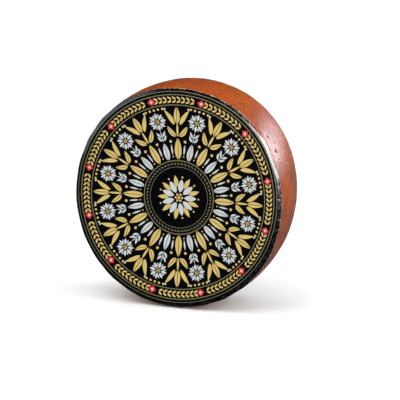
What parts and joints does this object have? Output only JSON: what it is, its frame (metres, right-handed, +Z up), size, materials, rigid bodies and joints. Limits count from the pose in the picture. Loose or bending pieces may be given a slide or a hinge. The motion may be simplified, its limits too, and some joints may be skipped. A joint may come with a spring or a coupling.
{
  "type": "cheese wheel",
  "caption": "Whole wheel of hard washed-rind mountain cheese standing on its rim, with a round printed paper label wrapped over its front shoulder.",
  "frame": {"origin": "middle of the base, where the wheel stands on its rim", "axes": "+Z up, the wheel's own axis along Y, the labelled face towards -Y, +X to the right as seen from the labelled face"},
  "size_m": [0.3032, 0.0878, 0.3139],
  "materials": {
    "washed_rind": "satin, slightly greasy, with a fine cloth imprint",
    "label_paper": "satin coated black",
    "gold_ink": "satin gold print",
    "silver_ink": "satin silver print",
    "olive_gold_ink": "satin dull gold print",
    "red_ink": "satin red print"
  },
  "bodies": {
    "root": {"cheese_wheel": "washed_rind", "face_label": "label_paper"}
  },
  "joints": []
}
